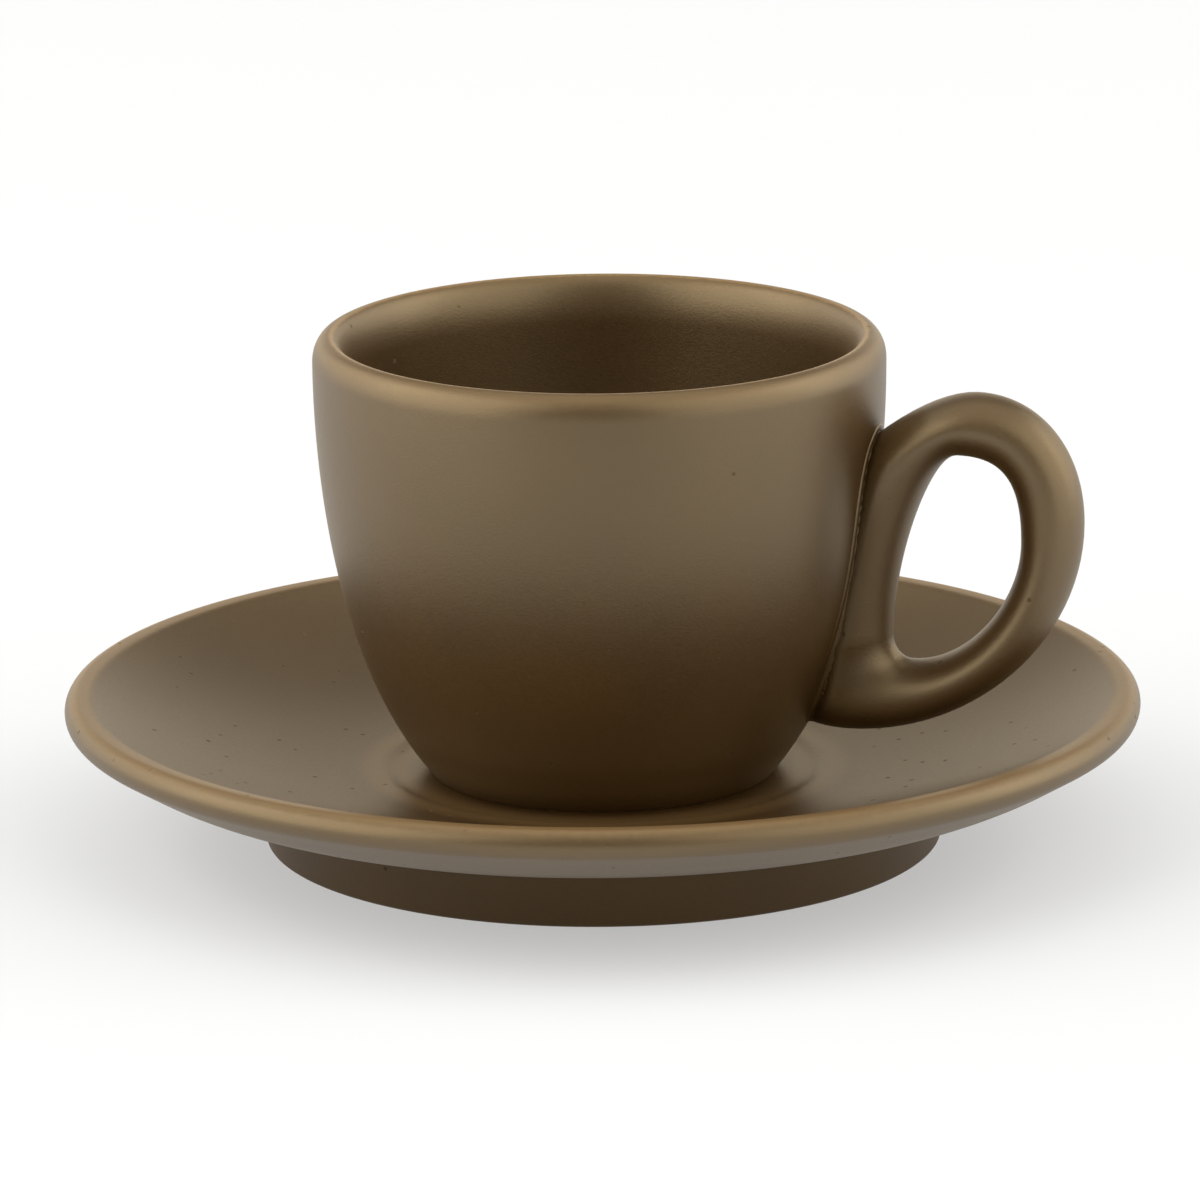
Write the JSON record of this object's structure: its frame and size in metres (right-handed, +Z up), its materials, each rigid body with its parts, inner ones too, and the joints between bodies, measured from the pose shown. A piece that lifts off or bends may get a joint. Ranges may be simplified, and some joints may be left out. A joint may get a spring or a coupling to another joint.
{
  "type": "espresso cup and saucer",
  "caption": "Stoneware espresso cup with a tapering round bowl and an oval looped handle, standing in the shallow well of a wide saucer with a raised rim and a foot ring.",
  "frame": {"origin": "on the table under the middle of the saucer's foot ring", "axes": "+Z up along the axis of the cup and the saucer, +X towards the handle"},
  "size_m": [0.12, 0.12, 0.0574],
  "materials": {
    "brown_glaze": "satin"
  },
  "bodies": {
    "saucer": {"saucer": "brown_glaze"},
    "cup": {"cup_body": "brown_glaze", "handle": "brown_glaze"}
  },
  "joints": [
    {"name": "cup_lift", "type": "slide", "parent": "saucer", "child": "cup", "axis": [0, 0, 1], "range_m": [0, 0.06]}
  ]
}
